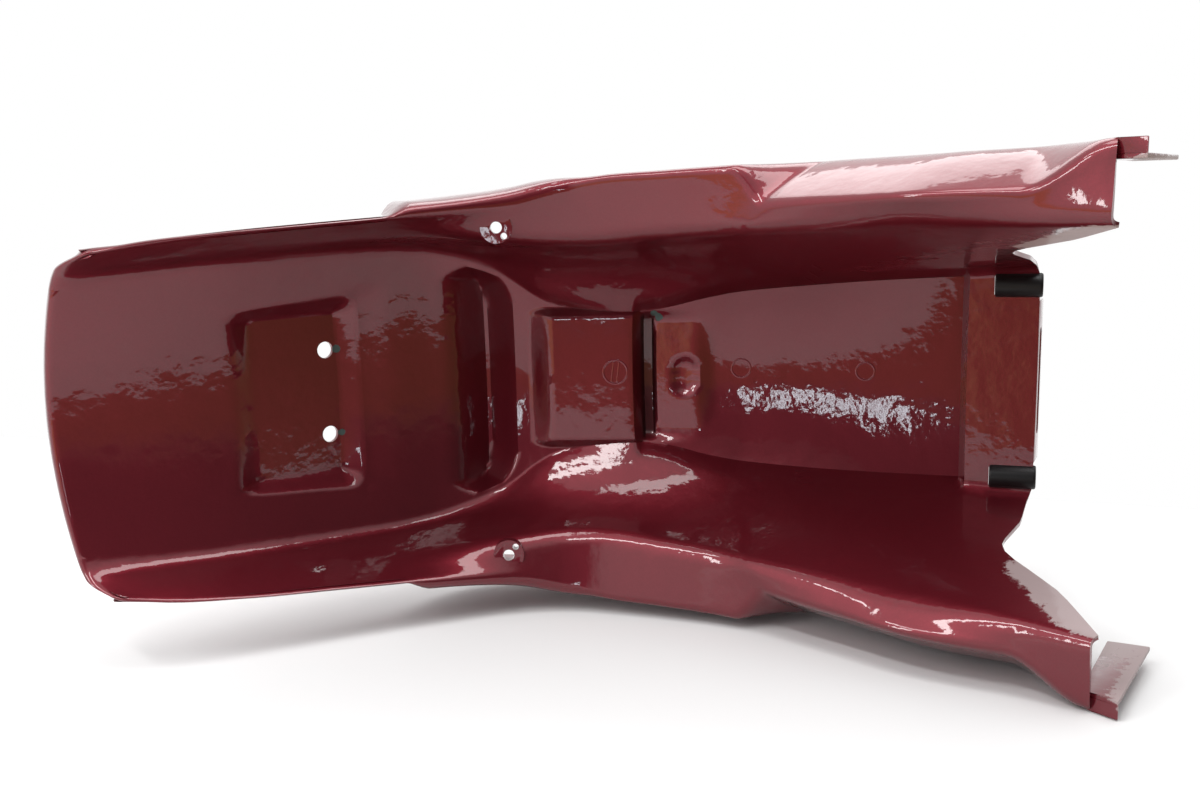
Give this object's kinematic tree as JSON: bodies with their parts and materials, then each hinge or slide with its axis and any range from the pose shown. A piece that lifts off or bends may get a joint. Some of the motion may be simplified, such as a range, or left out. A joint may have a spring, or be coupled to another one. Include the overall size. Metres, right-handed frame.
{
  "type": "motorcycle rear fender",
  "caption": "Moulded rear fender with arched floor, lamp recess, cross pocket, two side rails with skins, notched front and rubber dampers in open slots.",
  "frame": {"origin": "under the middle of the part, on the surface it lies on", "axes": "the part lies on its side as pictured: +X towards the front of the motorcycle, +Y from the hollow side to the outer side of the fender, +Z from the lower to the upper side skin; the fender's middle plane is level, halfway up"},
  "size_m": [0.6954, 0.3056, 0.32],
  "materials": {
    "red_plastic": "gloss metallic wine red, bare grey on the front tongues and gussets",
    "black_rubber": "satin black"
  },
  "bodies": {
    "root": {"fender_shell": "red_plastic", "upper_damper": "black_rubber", "lower_damper": "black_rubber"}
  },
  "joints": []
}
